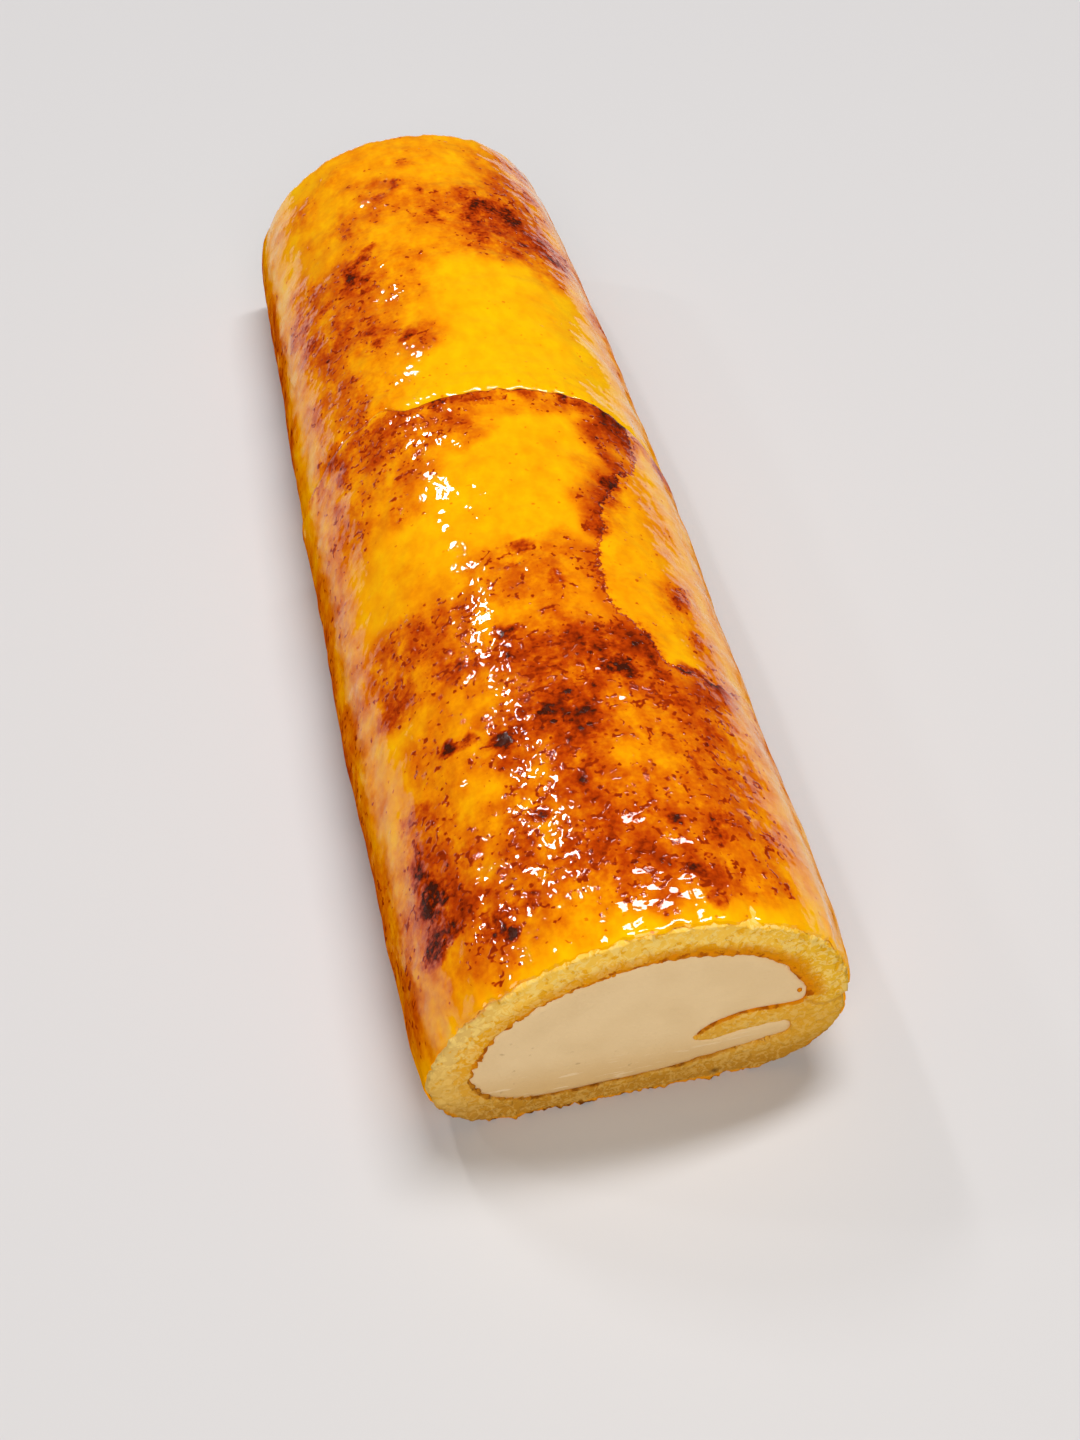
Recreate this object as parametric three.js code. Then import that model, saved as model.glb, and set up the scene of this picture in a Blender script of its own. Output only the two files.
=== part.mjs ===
// A swiss roll: one sheet of sponge rolled once round whipped cream, cut square at both ends, under a
// toasted egg yolk glaze that was spread in two pours. Millimetres, +Z up. The roll lies along Y on its
// flat side, its shown cut face towards -Y, and the origin is under the middle of it.
import * as THREE from "three";

// The whole roll, without its glaze.
const rollLength = 322;
const crownCentre = 0.5; // X of the middle of the crown
const halfWidth = 44.6; // at the cut face
const widestHeight = 18; // height of the widest line over the base
const crownRise = 37.2; // from the widest line up to the ridge
const crownLean = 0.146; // the crown leans this far to the right for each millimetre of height
const baseLeft = -29; // the flat base runs from here to baseRight
const baseRight = 22;
const faceSkew = 0.02; // the shown face is cut askew: its right edge lies further back

// The sheet: how thick the sponge is between its skin and the cream.
const crumbSide = 9;
const crumbTop = 9.3;
const crumbBase = 5.2;
const creamLean = 0.2;
const creamBase = { left: -20, midX: 10, rise: 0.3 }; // its flat underside starts at left
const creamStep = 0.3; // clearance between cream and crumb

// The inner end of the sheet turns back at the right and lies in the cream as a tongue.
const turn = { x: 32, z: 13.5, radiusX: 2.2, radiusZ: 2.4, from: -75, startX: 31.5 };
const tongue = {
  tipX: 13, tipZ: 16.2, tipRadius: 3.5, tipHeight: 1.4, pullX: 17, pullZ: 21.4,
  underside: 14.8, top: 22.4, shoulder: 25.5, rootX: 33.8, rootZ: 22.2,
};

// The outer end of the sheet lies on that turn in a sagging seam, which shows as a notch outside.
const notch = { lipX: 44.6, lower: 21.9, upper: 22.8, foldBulge: 0.3, foldZ: 20.2, lipRise: 1.5 };
const seamSag = 6.2;
const seamInner = { x: 35.6, lower: 22.5, upper: 23.3, shift: 0.5 };
const creamCorner = { pullX: 37.2, pullZ: 25.5, x: 35.3, z: 29, crownZ: 30 }; // the cream over the seam

// Along the roll the sides belly out behind the cut face, and the knife has pressed both ends in.
const leftBelly = { rise: 1.7, over: 95, fall: 1.5, from: 170 };
const rightBelly = { rise: 2.6, over: 215, fall: 2, from: 225 };
const endPress = { depth: 1, reach: 6 };
const backUpright = 0.04; // the crown leans this much less at the far end

// The glaze: a front and a back pour, the front one ending in a raised lip on the back one.
const glazeGap = 0.3;
const glaze = { front: 1, back: 0.9, lip: 0.9, lipReach: 9, lowestRight: 5, lowestLeft: 4.5 };
const glazeEdge = { share: 0.4, stations: 4 }; // it thins out towards its lower edges
const lipLine = { y: 20.3, bulge: 4.8, bulgeX: -30, bulgeWidth: 6.5, drop: 23 };
const lipGap = 0.3;
const ripple = { height: 0.22, along: 23, around: 0.43 };

// How finely curves and lengths are divided.
const crownSteps = 34;
const toeSteps = 9;
const creamSteps = { crown: 26, corner: 3, toe: 7, base: 6, turn: 5, tip: 3, tongue: 5 };
const seamSteps = 6;
const lengthSteps = { sponge: 12, cream: 8, front: 16, back: 11 };

const { degToRad, smoothstep } = THREE.MathUtils;
const point = (x, z) => new THREE.Vector2(x, z);

// Evenly spaced points along part of an ellipse, leaning sideways above the widest line.
function arc(centre, radiusX, radiusZ, from, to, steps, lean = 0) {
  const [angleFrom, angleTo] = [degToRad(from), degToRad(to)];
  const curve = new THREE.EllipseCurve(
    centre.x, centre.y, radiusX, radiusZ, angleFrom, angleTo, from > to);
  return curve.getSpacedPoints(steps)
    .map((p) => point(p.x + lean * Math.max(0, p.y - widestHeight), p.y));
}

const bend = (from, control, to, steps) =>
  new THREE.QuadraticBezierCurve(from, control, to).getPoints(steps);

// The angle on the crown at which it reaches a given height.
const crownAngle = (height, rise) =>
  (Math.asin((height - widestHeight) / rise) * 180) / Math.PI;

// The skin side of the sheet, from the flat base at the right, up over the crown and down to the base.
const rightToe = arc(point(baseRight, widestHeight),
  crownCentre + halfWidth - baseRight, widestHeight, 270, 360, toeSteps);
const turnLip = [point(notch.lipX + notch.foldBulge, notch.foldZ), point(notch.lipX, notch.lower)];
const lipEnd = point(notch.lipX + 0.1, notch.upper);
const crown = [
  lipEnd,
  ...arc(point(crownCentre, widestHeight), halfWidth, crownRise,
    crownAngle(notch.upper + notch.lipRise, crownRise), 180, crownSteps, crownLean),
];
const leftToe = arc(point(baseLeft, widestHeight),
  baseLeft - crownCentre + halfWidth, widestHeight, 180, 270, toeSteps);

// The cream side of the sheet, from the seam over the crown, down the left and back along the tongue.
const seamUpperEnd = point(seamInner.x + seamInner.shift, seamInner.upper);
const creamLine = [
  ...bend(seamUpperEnd, point(creamCorner.pullX, creamCorner.pullZ),
    point(creamCorner.x, creamCorner.z), creamSteps.corner),
  ...arc(point(0, widestHeight), halfWidth - crumbSide, crownRise - crumbTop,
    crownAngle(creamCorner.crownZ, crownRise - crumbTop), 180, creamSteps.crown, creamLean),
  ...arc(point(creamBase.left, widestHeight), halfWidth - crumbSide + creamBase.left,
    widestHeight - crumbBase, 180, 270, creamSteps.toe).slice(1),
  ...bend(point(creamBase.left + 2, crumbBase), point(creamBase.midX, crumbBase + creamBase.rise),
    point(turn.startX, turn.z - turn.radiusZ), creamSteps.base),
  ...arc(point(turn.x, turn.z), turn.radiusX, turn.radiusZ, turn.from, 90, creamSteps.turn),
  ...bend(point(tongue.tipX + tongue.tipRadius, tongue.underside),
    point(tongue.tipX + 0.2, tongue.underside), point(tongue.tipX, tongue.tipZ), creamSteps.tip),
  ...bend(point(tongue.tipX + 0.6, tongue.tipZ + tongue.tipHeight),
    point(tongue.pullX, tongue.pullZ), point(tongue.shoulder, tongue.top), creamSteps.tongue),
  point(tongue.rootX, tongue.rootZ),
  point(seamInner.x, seamInner.lower),
];

// The seam between the outer end of the sheet and the turn below it.
const seamMiddle = (seamInner.x + notch.lipX) / 2;
const seamLower = bend(point(notch.lipX, notch.lower), point(seamMiddle, notch.lower - seamSag),
  point(seamInner.x, seamInner.lower), seamSteps).slice(1, -1);
const seamUpper = bend(seamUpperEnd, point(seamMiddle, notch.upper - seamSag),
  lipEnd, seamSteps).slice(1, -1);

// Where a point of the section goes at a place along the roll.
function settle(x, y, z) {
  const fromFace = y + rollLength / 2;
  const fromEnd = rollLength / 2 - Math.abs(y);
  const belly = x < 0 ? leftBelly : rightBelly;
  const pressed = endPress.depth * Math.exp(-fromEnd / endPress.reach);
  const wider = belly.rise * smoothstep(fromFace, 0, belly.over)
    - belly.fall * smoothstep(fromFace, belly.from, rollLength) + endPress.depth - pressed;
  const upright = (backUpright * Math.max(0, z - widestHeight) * fromFace) / rollLength;
  return new THREE.Vector3(
    x * (1 + wider / halfWidth) - upright,
    y + faceSkew * x * (1 - fromFace / rollLength),
    z * (1 - pressed / (widestHeight + crownRise)),
  );
}

// Spreads even steps from 0 to 1 so that they lie closer together towards both ends.
const closerAtEnds = (t) => 0.5 - 0.5 * Math.cos(Math.PI * t);

function moved(geometry, place) {
  const position = geometry.getAttribute("position");
  const vertex = new THREE.Vector3();
  for (let i = 0; i < position.count; i += 1) {
    vertex.fromBufferAttribute(position, i);
    position.setXYZ(i, ...place(vertex).toArray());
  }
  geometry.computeVertexNormals();
  return geometry;
}

// A closed outline of the section carried along the whole roll.
function lengthOf(outline, steps) {
  const geometry = new THREE.ExtrudeGeometry(
    new THREE.Shape(outline), { depth: rollLength, steps, bevelEnabled: false });
  geometry.rotateX(Math.PI / 2);
  return moved(geometry, (v) =>
    settle(v.x, rollLength * (closerAtEnds(1 + v.y / rollLength) - 0.5), v.z));
}

// Unit normals of an open line of points, turned to its right.
function normalsOf(line) {
  return line.map((p, i) => {
    const before = line[Math.max(i - 1, 0)];
    const after = line[Math.min(i + 1, line.length - 1)];
    const along = after.clone().sub(before).normalize();
    return point(along.y, -along.x);
  });
}

function inset(line, distance) {
  const normals = normalsOf(line);
  return line.map((p, i) => p.clone().addScaledVector(normals[i], -distance));
}

// The line round the outside that the glaze follows, across the notch of the seam.
const glazeLine = [
  ...rightToe.filter((p) => p.y > glaze.lowestRight),
  ...turnLip,
  ...crown,
  ...leftToe.slice(1).filter((p) => p.y > glaze.lowestLeft),
];
const glazeNormals = normalsOf(glazeLine);

// The front pour ends in a line across the roll that bulges back left of the ridge and falls away
// forwards down the right side.
const lipY = (x) =>
  lipLine.y + lipLine.bulge * Math.exp(-(((x - lipLine.bulgeX) / lipLine.bulgeWidth) ** 2))
    - lipLine.drop * Math.max(0, x / halfWidth) ** 3;

// One pour of glaze, as a flat slab that is wrapped round the crumb.
function pour(startOf, endOf, thicknessAt, steps) {
  const spans = glazeLine.length - 1;
  const slab = new THREE.BoxGeometry(1, 1, 1, spans, 1, steps);
  return moved(slab, (v) => {
    const station = Math.round((v.x + 0.5) * spans);
    const base = glazeLine[station];
    const y = THREE.MathUtils.lerp(startOf(base.x), endOf(base.x), closerAtEnds(v.z + 0.5));
    const uneven = ripple.height * Math.sin(y / ripple.along + ripple.around * station)
      * Math.sin((2 * y) / ripple.along - station);
    const fromEdge = Math.min(station, spans - station);
    const feather = THREE.MathUtils.lerp(
      glazeEdge.share, 1, smoothstep(fromEdge, 0, glazeEdge.stations));
    const out = v.y < 0 ? glazeGap : glazeGap + (thicknessAt(base.x, y) + uneven) * feather;
    const section = base.clone().addScaledVector(glazeNormals[station], out);
    return settle(section.x, y, section.y);
  });
}

const finish = {
  sponge: new THREE.MeshStandardMaterial({ color: 0xe6c478, roughness: 0.95, metalness: 0 }),
  cream: new THREE.MeshStandardMaterial({ color: 0xf0dfc0, roughness: 0.7, metalness: 0 }),
  glaze: new THREE.MeshStandardMaterial({ color: 0xe08a10, roughness: 0.15, metalness: 0 }),
};

const roll = new THREE.Group();

function add(name, geometry, material) {
  const mesh = new THREE.Mesh(geometry, material);
  mesh.name = name;
  roll.add(mesh);
}

const spongeOutline = [
  ...rightToe, ...turnLip, ...seamLower, ...creamLine.slice().reverse(), ...seamUpper,
  ...crown, ...leftToe.slice(1),
];
add("sponge", lengthOf(spongeOutline, lengthSteps.sponge), finish.sponge);
add("cream", lengthOf(inset(creamLine, creamStep), lengthSteps.cream), finish.cream);

const face = -rollLength / 2;
const frontThickness = (x, y) =>
  glaze.front + glaze.lip * Math.exp(-Math.abs(lipY(x) - y) / glaze.lipReach);
add("glaze_front",
  pour(() => face, lipY, frontThickness, lengthSteps.front), finish.glaze);
add("glaze_back",
  pour((x) => lipY(x) + lipGap, () => -face, () => glaze.back, lengthSteps.back), finish.glaze);

// Stands the roll on the floor with the origin under the middle of its box.
const box = new THREE.Box3().setFromObject(roll);
const middle = box.getCenter(new THREE.Vector3());
roll.position.set(-middle.x, -middle.y, -box.min.z);

export default roll;
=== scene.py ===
# %% [markdown]
# # A swiss roll under a toasted glaze
#
# The cake is one sheet of sponge, rolled once round whipped cream and cut square at both ends. Over it
# lie two pours of egg yolk glaze that a torch has browned. The solids of all four parts come with the
# frame, at their real size, and this lesson gives each one its fine surface and its finish. Blender
# works in metres, and a length in millimetres is written as a number times MM.

# %% Load the frame
import math

import bmesh
import bpy
import numpy as np
from mathutils import Matrix, Vector, noise
from mathutils.bvhtree import BVHTree
from mathutils.kdtree import KDTree


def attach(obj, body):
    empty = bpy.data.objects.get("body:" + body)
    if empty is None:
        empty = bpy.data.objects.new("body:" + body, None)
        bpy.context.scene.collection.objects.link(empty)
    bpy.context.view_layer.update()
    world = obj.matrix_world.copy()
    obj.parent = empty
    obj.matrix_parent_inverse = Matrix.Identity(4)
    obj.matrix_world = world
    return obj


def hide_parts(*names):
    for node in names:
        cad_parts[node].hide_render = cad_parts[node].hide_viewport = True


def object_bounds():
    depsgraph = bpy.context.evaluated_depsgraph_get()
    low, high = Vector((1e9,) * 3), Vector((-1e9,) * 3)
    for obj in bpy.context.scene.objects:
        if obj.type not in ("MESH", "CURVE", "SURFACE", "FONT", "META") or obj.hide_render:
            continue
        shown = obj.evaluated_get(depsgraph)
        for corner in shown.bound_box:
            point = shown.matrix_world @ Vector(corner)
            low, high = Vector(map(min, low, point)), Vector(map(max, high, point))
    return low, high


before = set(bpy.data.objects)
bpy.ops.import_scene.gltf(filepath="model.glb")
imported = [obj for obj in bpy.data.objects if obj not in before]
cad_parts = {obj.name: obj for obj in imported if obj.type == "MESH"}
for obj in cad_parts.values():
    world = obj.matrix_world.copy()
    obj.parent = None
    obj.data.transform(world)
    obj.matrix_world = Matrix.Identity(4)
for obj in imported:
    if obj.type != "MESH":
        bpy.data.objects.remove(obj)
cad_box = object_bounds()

MM = 0.001
low, high = cad_box
print("The solids span", [round(length / MM, 1) for length in high - low], "mm")

# %% [markdown]
# ## Where the eye is
#
# The cake is seen from above its near end, a little to the left, the way somebody looks down at a cake
# in front of them. A lens of 45 mm from half a metre away makes the far end clearly smaller.

# %% Camera
bpy.ops.object.camera_add(
    location=(-0.0639, -0.3628, 0.330),
    rotation=(math.radians(44.35), 0, math.radians(-11.876)),
)
camera = bpy.context.object
camera.name = "camera"
camera.data.lens = 44.75
camera.data.sensor_width = 36
bpy.context.scene.camera = camera
print("The lens is", round(camera.location.z / MM), "mm above the floor")

# %% [markdown]
# ## Floor and light
#
# A glaze this wet is drawn by what it mirrors. A long softbox overhead does most of the lighting and
# sparkles along the near rim. A thin strip behind on the left draws the broken line of sparks down the
# crown, and a small box further left and lower adds those on the left of the near rim. A wide weak box
# fills the cut face from the front. All hang a few metres away, so that they light the whole plain
# floor evenly: it shows in the glaze as a pale band low on both sides. Everything else is dim, which
# keeps the yellow deep.

# %% Floor
FLOOR_SIDE = 6.0
bpy.ops.mesh.primitive_plane_add(size=FLOOR_SIDE)
floor = bpy.context.object
floor.name = "floor"
print("The floor is", FLOOR_SIDE, "m wide")

# %% Lights
ROLL_MIDDLE = Vector((0, 0, 0.04))


def softbox(name, start, end, width, radiance, colour=(1, 1, 1)):
    """A softbox that reaches from start to end and faces the roll, as bright as given all over."""
    start, end = Vector(start), Vector(end)
    middle = (start + end) / 2
    backwards = (middle - ROLL_MIDDLE).normalized()
    across = backwards.cross(end - start).normalized()
    along = across.cross(backwards)
    bpy.ops.object.light_add(type="AREA", location=middle)
    light = bpy.context.object
    light.name = name
    light.rotation_euler = Matrix((along, across, backwards)).transposed().to_euler()
    light.data.shape = "RECTANGLE"
    light.data.size = (end - start).length
    light.data.size_y = width
    light.data.energy = radiance * math.pi * light.data.size * width
    light.data.color = colour
    print(f"{name}: {light.data.energy:.1f} W")


softbox("overhead", (-0.25, 0.5, 2.54), (1.25, 0.68, 2.19), 0.34, 26.3)
softbox("strip", (-0.862, 1.426, 1.808), (-0.758, 1.774, 1.582), 0.125, 50)
softbox("left_spark", (-1.74, 1.01, 1.55), (-1.86, 1.13, 1.45), 0.08, 70)
softbox("front_fill", (-1.4, -2.0, 1.82), (0.8, -2.0, 1.82), 1.7, 4.05, (1, 0.96, 0.9))

# %% Surroundings
world = bpy.data.worlds.new("studio")
world.use_nodes = True
world.node_tree.nodes["Background"].inputs["Color"].default_value = (1, 0.98, 0.95, 1)
world.node_tree.nodes["Background"].inputs["Strength"].default_value = 0.04
bpy.context.scene.world = world
bpy.context.scene.view_settings.view_transform = "Standard"

# %% [markdown]
# ## Finishes as sums
#
# A material in Blender is a net of nodes. Drawn by hand each sum is a node, and a page of them is hard
# to read. Here a small class stands for one output of a node, and adding or multiplying it makes the
# Math node, so that a pattern can be written the way it is thought.

# %% Helpers for materials
class Signal:
    """One output of a node. A sum written with it adds a Math node."""

    def __init__(self, finish, socket):
        self.finish = finish
        self.socket = socket

    def other(self, output):
        """Another output of the same node."""
        return Signal(self.finish, self.socket.node.outputs[output])

    def math(self, operation, *terms):
        return self.finish.node("ShaderNodeMath", {"operation": operation}, dict(enumerate(terms)))

    def __add__(self, other):
        return self.math("ADD", self, other)

    __radd__ = __add__

    def __mul__(self, other):
        return self.math("MULTIPLY", self, other)

    __rmul__ = __mul__

    def __sub__(self, other):
        return self.math("SUBTRACT", self, other)

    def __rsub__(self, other):
        return self.math("SUBTRACT", other, self)

    def size(self):
        return self.math("ABSOLUTE", self)

    def most(self, other):
        return self.math("MAXIMUM", self, other)

    def ramp(self, start, end):
        """Rises smoothly from 0 at start to 1 at end, or falls where start is the larger."""
        return self.finish.node(
            "ShaderNodeMapRange",
            {"interpolation_type": "SMOOTHSTEP"},
            {"Value": self, "From Min": start, "From Max": end},
        )


def rgb(red, green, blue):
    """A colour as a screen shows it, from 0 to 255, as the linear one that Blender works with."""
    shown = [channel / 255 for channel in (red, green, blue)]
    linear = [c / 12.92 if c < 0.04045 else ((c + 0.055) / 1.055) ** 2.4 for c in shown]
    return (*linear, 1)


class Finish:
    """A new material and the one method that adds a node to it."""

    def __init__(self, name, **plain):
        self.material = bpy.data.materials.new(name)
        self.material.use_nodes = True
        self.tree = self.material.node_tree
        self.shader = self.tree.nodes["Principled BSDF"]
        for socket, value in plain.items():
            self.shader.inputs[socket.replace("_", " ")].default_value = value

    def node(self, kind, settings=None, sockets=None, output=0):
        made = self.tree.nodes.new(kind)
        for name, value in (settings or {}).items():
            setattr(made, name, value)
        for name, value in (sockets or {}).items():
            self.feed(made.inputs[name], value)
        return Signal(self, made.outputs[output])

    def feed(self, socket, value):
        if isinstance(value, Signal):
            self.tree.links.new(value.socket, socket)
        else:
            socket.default_value = value

    def place(self):
        """Object coordinates in millimetres."""
        metres = self.node("ShaderNodeTexCoord", output="Object")
        return self.node("ShaderNodeVectorMath", {"operation": "SCALE"}, {0: metres, "Scale": 1 / MM})

    def axis(self, place, letter):
        return self.node("ShaderNodeSeparateXYZ", None, {0: place}, output=letter)

    def stretched(self, place, scale):
        """The same places with each axis scaled: below 1, a pattern is drawn out along it."""
        return self.node("ShaderNodeVectorMath", {"operation": "MULTIPLY"}, {0: place, 1: scale})

    def cloud(self, place, size, detail=3.0, roughness=0.5, output=0):
        """Soft noise round 0.5 with features of a given size in millimetres."""
        return self.node(
            "ShaderNodeTexNoise",
            None,
            {"Vector": place, "Scale": 1 / size, "Detail": detail, "Roughness": roughness},
            output,
        )

    def painted(self, name):
        """A number that was painted on the mesh, one for each vertex."""
        return self.node("ShaderNodeAttribute", {"attribute_name": name}, output="Fac")

    def mix(self, share, first, second):
        """Colours blended by share. The Mix node keeps its colour sockets at places 6 and 7."""
        sockets = {0: share, 6: first, 7: second}
        return self.node("ShaderNodeMix", {"data_type": "RGBA"}, sockets, output=2)

    def ramped(self, share, stops):
        """A colour for each value of share, from stops that are a value and its colour."""
        made = self.node("ShaderNodeValToRGB", None, {"Fac": share})
        elements = made.socket.node.color_ramp.elements
        elements.remove(elements[1])
        elements[0].position, elements[0].color = stops[0]
        for place, colour in stops[1:]:
            elements.new(place).color = colour
        return made

    def bump(self, height, depth):
        """A normal from a height between 0 and 1 that stands for a depth in millimetres."""
        return self.node("ShaderNodeBump", None, {"Height": height, "Distance": depth * MM})

    def finish(self, **links):
        for socket, value in links.items():
            self.feed(self.shader.inputs[socket.replace("_", " ")], value)
        print(self.material.name, "has", len(self.tree.nodes), "nodes")
        return self.material

    def dried(self, share, **links):
        """Ends like finish, but a share of the surface has the same colour without any gloss."""
        self.finish(**links)
        matt = self.node("ShaderNodeBsdfPrincipled", None, {
            "Base Color": links["Base_Color"],
            "Normal": links["Normal"],
            "Specular IOR Level": 0.0,
        })
        wet = Signal(self, self.shader.outputs[0])
        both = self.node("ShaderNodeMixShader", None, {0: share, 1: wet, 2: matt})
        self.feed(self.tree.nodes["Material Output"].inputs["Surface"], both)
        return self.material


# %% Backdrop and finish of the floor
DOME_RADIUS = 2.4
SKYLINE = (-60, 800)  # heights where the backdrop is darkest and palest, in millimetres


def backdrop():
    """A pale dome far round the floor. Only the camera sees it: it lights nothing and isn't mirrored."""
    bpy.ops.mesh.primitive_uv_sphere_add(radius=DOME_RADIUS, segments=48, ring_count=24)
    dome = bpy.context.object
    dome.name = "backdrop"
    for rays in ("diffuse", "glossy", "transmission", "volume_scatter", "shadow"):
        setattr(dome, "visible_" + rays, False)
    paper = Finish("backdrop", Base_Color=(0, 0, 0, 1), Specular_IOR_Level=0.0, Emission_Strength=1.0)
    height = paper.axis(paper.place(), "Z")
    shade = paper.mix(height.ramp(*SKYLINE), rgb(176, 174, 172), rgb(208, 207, 207))
    dome.data.materials.append(paper.finish(Emission_Color=shade))


backdrop()
pale_floor = Finish("pale_floor", Base_Color=rgb(208, 206, 207), Roughness=0.7)
floor.data.materials.append(pale_floor.material)

# %% [markdown]
# ## Taking a part in hand
#
# Every part starts as a copy of its solid, so it is sure to lie where the real one does. The copy is
# welded, because the solid comes as loose triangles. Faces are then picked by where they are and which
# way they look, which does in code what clicking does on the screen.

# %% Helpers for modelling
def only(*objects):
    """Selects these objects and nothing else."""
    bpy.ops.object.select_all(action="DESELECT")
    for one in objects:
        one.select_set(True)
    bpy.context.view_layer.objects.active = objects[0]


def edit(piece, select="ALL"):
    """Opens a piece in edit mode with all of it selected, or with what was picked before."""
    only(piece)
    bpy.ops.object.mode_set(mode="EDIT")
    if select == "ALL":
        bpy.ops.mesh.select_all(action="SELECT")


def done():
    bpy.ops.object.mode_set(mode="OBJECT")


def copy_of(node, name):
    """A welded copy of a solid, as a new piece with no material."""
    piece = bpy.data.objects.new(name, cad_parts[node].data.copy())
    bpy.context.collection.objects.link(piece)
    piece.data.materials.clear()
    edit(piece)
    bpy.ops.mesh.remove_doubles(threshold=0.001 * MM)
    done()
    return piece


def read(items, field, width=3):
    """One field of all vertices or faces as rows of numbers."""
    flat = np.empty(len(items) * width, dtype=np.float32)
    items.foreach_get(field, flat)
    return flat.reshape(-1, width).astype(float)


def points_of(piece):
    """The vertices of a piece, in metres."""
    return read(piece.data.vertices, "co")


def write(piece, rows):
    """Moves the vertices of a piece to these places, in metres."""
    piece.data.vertices.foreach_set("co", rows.astype(np.float32).ravel())
    piece.data.update()


def pick(piece, kind, chosen):
    """Selects just these vertices, edges or polygons, ready for edit mode."""
    mesh = piece.data
    for items in (mesh.vertices, mesh.edges, mesh.polygons):
        items.foreach_set("select", np.zeros(len(items), dtype=bool))
    getattr(mesh, kind).foreach_set("select", chosen)
    modes = ("vertices", "edges", "polygons")
    bpy.context.tool_settings.mesh_select_mode = [kind == mode for mode in modes]


def modify(piece, kind, **settings):
    """Adds a modifier and applies it at once."""
    only(piece)
    modifier = piece.modifiers.new(kind.lower(), kind)
    for name, value in settings.items():
        setattr(modifier, name, value)
    bpy.ops.object.modifier_apply(modifier=modifier.name)


def roughen(piece, size, depth, group="", octaves=2):
    """Pushes the surface in and out by a noise of a given size and depth in millimetres."""
    texture = bpy.data.textures.new("relief", "CLOUDS")
    texture.noise_scale = size * MM
    texture.noise_depth = octaves
    modify(piece, "DISPLACE", texture=texture, strength=depth * MM, mid_level=0.5,
           texture_coords="LOCAL", vertex_group=group)


WEIGHT_STEPS = 20


def weigh(piece, name, weights):
    """A vertex group that holds how much each vertex takes part, in steps of a twentieth."""
    group = piece.vertex_groups.new(name=name)
    steps = np.round(weights * WEIGHT_STEPS).astype(int)
    for step in range(1, WEIGHT_STEPS + 1):
        group.add(np.flatnonzero(steps == step).tolist(), step / WEIGHT_STEPS, "REPLACE")


def paint(piece, name, values):
    """Keeps one number for each vertex, which a material can read."""
    attribute = piece.data.attributes.new(name, "FLOAT", "POINT")
    attribute.data.foreach_set("value", values.astype(np.float32))


def dress(piece, material):
    piece.data.materials.append(material)
    only(piece)
    bpy.ops.object.shade_smooth()


def joined(first, *others):
    """Joins pieces into the first of them."""
    only(first, *others)
    bpy.ops.object.join()
    print(first.name, len(first.data.polygons), "faces")


def painted(piece, name):
    """The numbers that were painted, in the order of the vertices."""
    return read(piece.data.attributes[name].data, "value", 1)[:, 0]


def noise_at(*columns):
    """Smooth noise between -1 and 1, at places given as three columns or single numbers."""
    places = zip(*np.broadcast_arrays(*columns))
    return np.array([noise.noise(Vector(place)) for place in places])


# %% [markdown]
# ## The glaze
#
# Egg yolk glaze is spread on hot and sets to a skin about a millimetre thick. It isn't flat: it sags
# into low swellings and dimples, it is rounded where it ends, and its near pour stops in a lip on the
# far one. Only the outside of the solid is kept. Its long cells are cut across until they are nearly
# square, and a Subdivision Surface turns them into a smooth skin, fine enough to carry lumps. Solidify
# then gives the skin its thickness, and Shrinkwrap presses the inner side onto the crumb.

# %% Outer skin of a pour
AXIS_X = 0.5  # the axis that places round the roll are measured from, in millimetres
AXIS_Z = 18.0
MM_PER_DEGREE = 0.8  # a degree round the roll, measured on its skin


def round_roll(points):
    """Degrees round the roll, from -90 to 270: 0 is right, 90 is the ridge and 180 is left."""
    degrees = np.degrees(np.arctan2(points[:, 2] / MM - AXIS_Z, points[:, 0] / MM - AXIS_X))
    return np.where(degrees < -90, degrees + 360, degrees)


def keep_outside(piece):
    """Deletes the faces that look inwards or along the roll, which leaves the outer skin."""
    centres = read(piece.data.polygons, "center")
    normals = read(piece.data.polygons, "normal")
    outwards = centres - np.array([AXIS_X * MM, 0, AXIS_Z * MM])
    outwards[:, 1] = 0
    outwards /= np.linalg.norm(outwards, axis=1)[:, None]
    outside = ((outwards * normals).sum(axis=1) > 0.5) & (abs(normals[:, 1]) < 0.6)
    pick(piece, "polygons", ~outside)
    edit(piece, select="PICKED")
    bpy.ops.mesh.delete(type="FACE")
    done()


def reach_across(edge):
    """How far an edge runs across the roll."""
    return (edge.verts[0].co.xz - edge.verts[1].co.xz).length


def turn_of(vertex):
    """The angle of a vertex round the roll, counted from under its right side."""
    angle = math.atan2(vertex.co.z - AXIS_Z * MM, vertex.co.x - AXIS_X * MM) % math.tau
    return (angle + math.radians(60)) % math.tau


def join_cells(piece):
    """Dissolves the slanting edge in each cell of the skin, which leaves a grid of quads."""
    mesh = bmesh.new()
    mesh.from_mesh(piece.data)
    slanting = {}  # a dictionary keeps its order, so each run joins the cells in the same one
    for face in mesh.faces:
        along = min(face.edges, key=reach_across)
        near, far = sorted(along.verts, key=lambda vertex: vertex.co.y)
        tip = next(vertex for vertex in face.verts if vertex not in along.verts)
        edge = mesh.edges.get((far if turn_of(tip) > turn_of(near) else near, tip))
        slanting[edge.index] = edge
    bmesh.ops.dissolve_edges(mesh, edges=list(slanting.values()))
    mesh.to_mesh(piece.data)
    mesh.free()


STRAIGHT = 0.6  # an edge that moves less than this across the roll runs along it


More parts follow.
